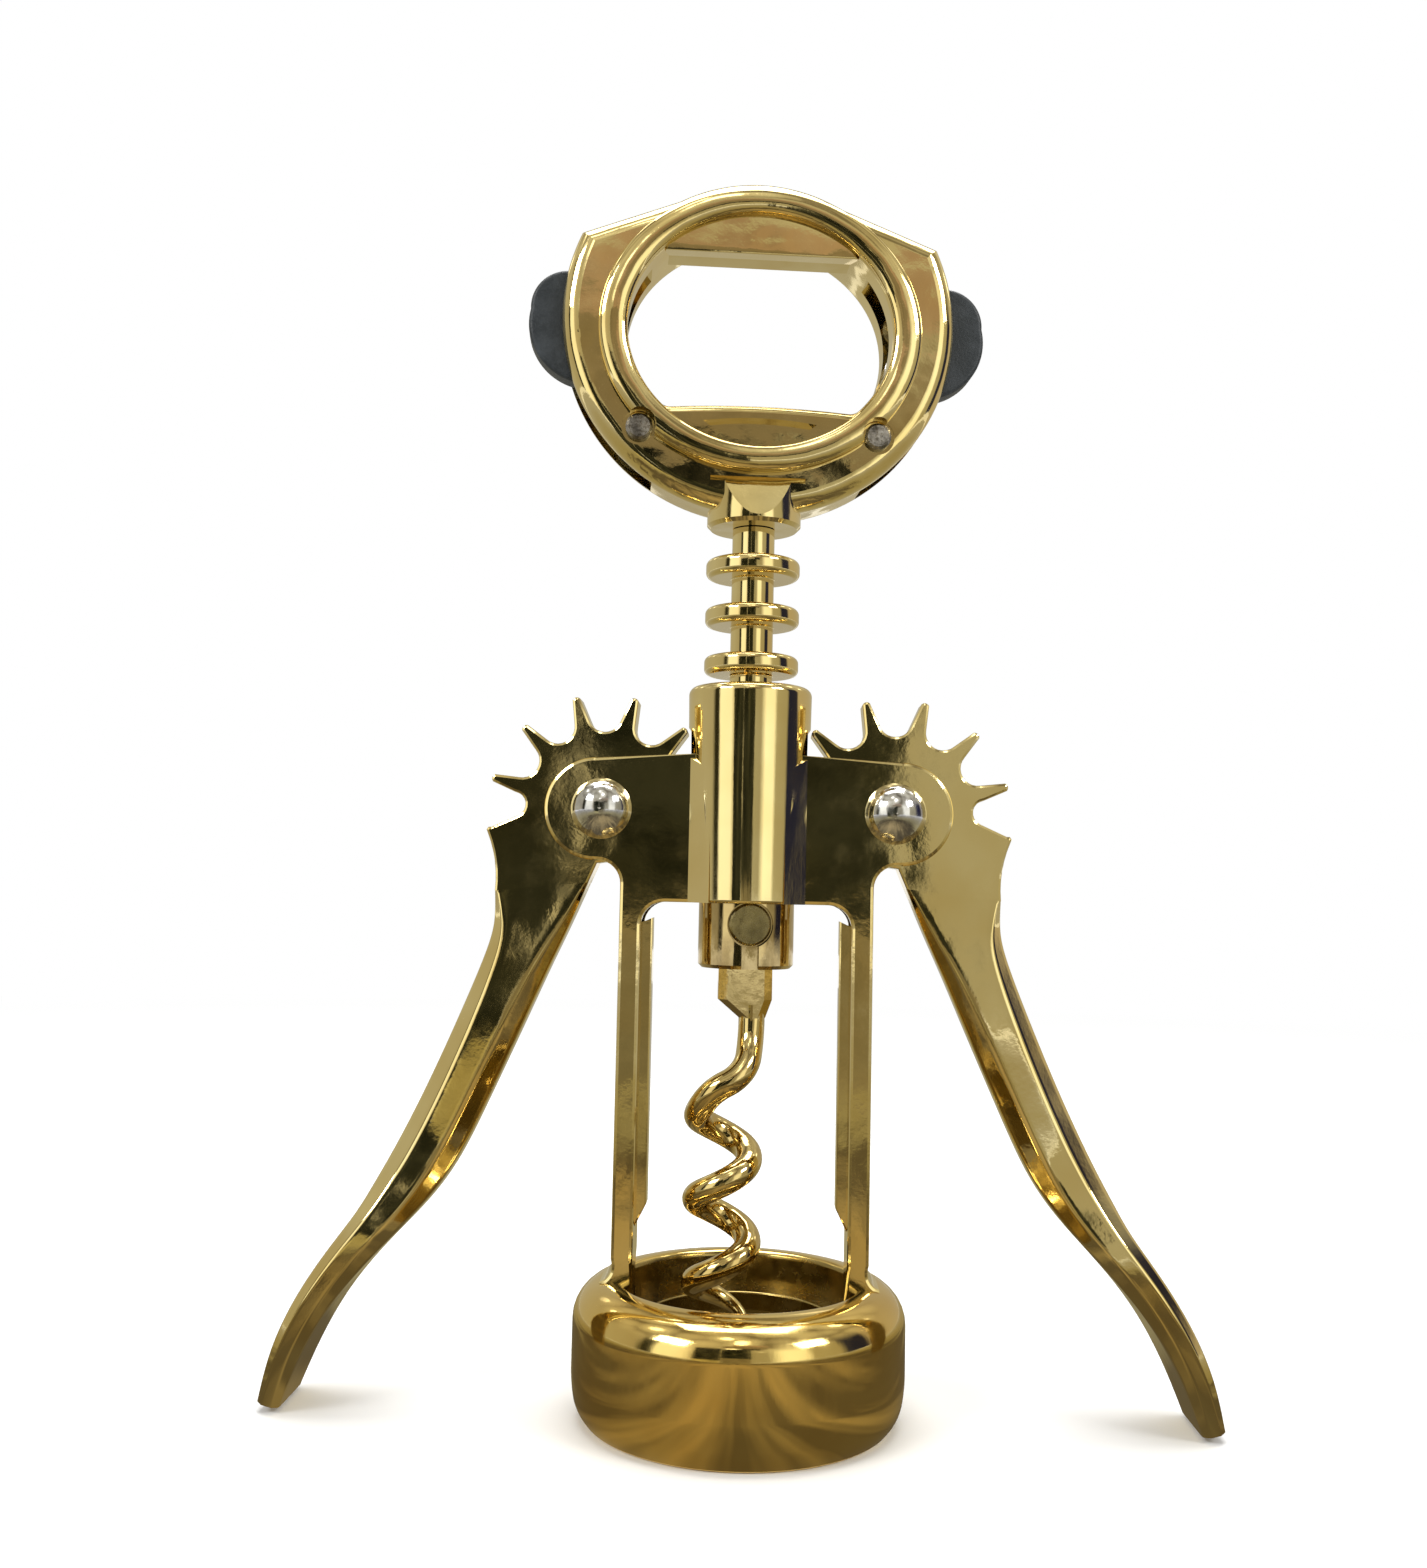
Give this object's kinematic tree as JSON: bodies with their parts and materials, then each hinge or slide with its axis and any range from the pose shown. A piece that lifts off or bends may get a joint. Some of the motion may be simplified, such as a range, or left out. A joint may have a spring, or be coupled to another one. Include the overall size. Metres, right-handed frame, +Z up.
{
  "type": "wing corkscrew",
  "caption": "Wing corkscrew: bell and posts on the bottle, geared levers that lift the rack and worm, and a shield shaped handle ring with a cap blade and a sprung foil cutter.",
  "frame": {"origin": "middle of the bell's bottom face, on the axis of the rack", "axes": "+Z up along the rack, +X to the right lever, and the face with the worm pin's recess looks to -Y"},
  "size_m": [0.1294, 0.0448, 0.1694],
  "materials": {
    "gold_plating": "mirror gold plating",
    "polished_rivet_steel": "mirror nickel",
    "grey_steel": "plain steel",
    "black_plastic": "satin black"
  },
  "bodies": {
    "frame": {"frame": "gold_plating", "left_pivot_rivet": "polished_rivet_steel", "right_pivot_rivet": "polished_rivet_steel"},
    "left_lever": {"left_lever": "gold_plating"},
    "right_lever": {"right_lever": "gold_plating"},
    "rack": {"rack": "gold_plating"},
    "handle": {"handle_ring": "gold_plating", "stem": "gold_plating", "worm_socket": "gold_plating", "worm_pin": "gold_plating", "worm": "gold_plating", "left_cutter_pivot_pin": "grey_steel", "right_cutter_pivot_pin": "grey_steel"},
    "left_cutter": {"left_cutter_arm": "black_plastic", "left_cutter_spring": "grey_steel", "left_lower_wheel_axle": "grey_steel", "left_upper_wheel_axle": "grey_steel"},
    "left_lower_wheel": {"left_lower_cutter_wheel": "grey_steel"},
    "left_upper_wheel": {"left_upper_cutter_wheel": "grey_steel"},
    "right_cutter": {"right_cutter_arm": "black_plastic", "right_cutter_spring": "grey_steel", "right_lower_wheel_axle": "grey_steel", "right_upper_wheel_axle": "grey_steel"},
    "right_lower_wheel": {"right_lower_cutter_wheel": "grey_steel"},
    "right_upper_wheel": {"right_upper_cutter_wheel": "grey_steel"}
  },
  "joints": [
    {"name": "left_lever_swing", "type": "hinge", "parent": "frame", "child": "left_lever", "pos_m": [-0.01998, 0, 0.0812], "axis": [0, 1, 0], "range_deg": [0, 105]},
    {"name": "right_lever_swing", "type": "hinge", "parent": "frame", "child": "right_lever", "pos_m": [0.01998, 0, 0.0812], "axis": [0, -1, 0], "range_deg": [0, 105]},
    {"name": "rack_slide", "type": "slide", "parent": "frame", "child": "rack", "axis": [0, 0, 1], "range_m": [-0.0238, 0]},
    {"name": "handle_spin", "type": "hinge", "parent": "rack", "child": "handle", "pos_m": [0, 0, 0.12], "axis": [0, 0, 1], "continuous": true},
    {"name": "left_cutter_squeeze", "type": "hinge", "parent": "handle", "child": "left_cutter", "pos_m": [-0.01641, -0.00172, 0.1334], "axis": [-0.1045, 0.9945, 0], "range_deg": [0, 12], "stiffness_Nm_per_rad": 0.03, "springref_deg": -20.05},
    {"name": "left_lower_wheel_spin", "type": "hinge", "parent": "left_cutter", "child": "left_lower_wheel", "pos_m": [-0.02073, -0.00218, 0.14459], "axis": [-0.1045, 0.9945, 0], "continuous": true},
    {"name": "left_upper_wheel_spin", "type": "hinge", "parent": "left_cutter", "child": "left_upper_wheel", "pos_m": [-0.02121, -0.00223, 0.15241], "axis": [-0.1045, 0.9945, 0], "continuous": true},
    {"name": "right_cutter_squeeze", "type": "hinge", "parent": "handle", "child": "right_cutter", "pos_m": [0.01641, 0.00172, 0.1334], "axis": [0.1045, -0.9945, 0], "range_deg": [0, 12], "stiffness_Nm_per_rad": 0.03, "springref_deg": -20.05},
    {"name": "right_lower_wheel_spin", "type": "hinge", "parent": "right_cutter", "child": "right_lower_wheel", "pos_m": [0.02073, 0.00218, 0.14459], "axis": [0.1045, -0.9945, 0], "continuous": true},
    {"name": "right_upper_wheel_spin", "type": "hinge", "parent": "right_cutter", "child": "right_upper_wheel", "pos_m": [0.02121, 0.00223, 0.15241], "axis": [0.1045, -0.9945, 0], "continuous": true}
  ],
  "couplings": [
    {"joint": "right_lever_swing", "follows": "left_lever_swing", "ratio": 1},
    {"joint": "rack_slide", "follows": "left_lever_swing", "m_per_rad": -0.01295}
  ]
}
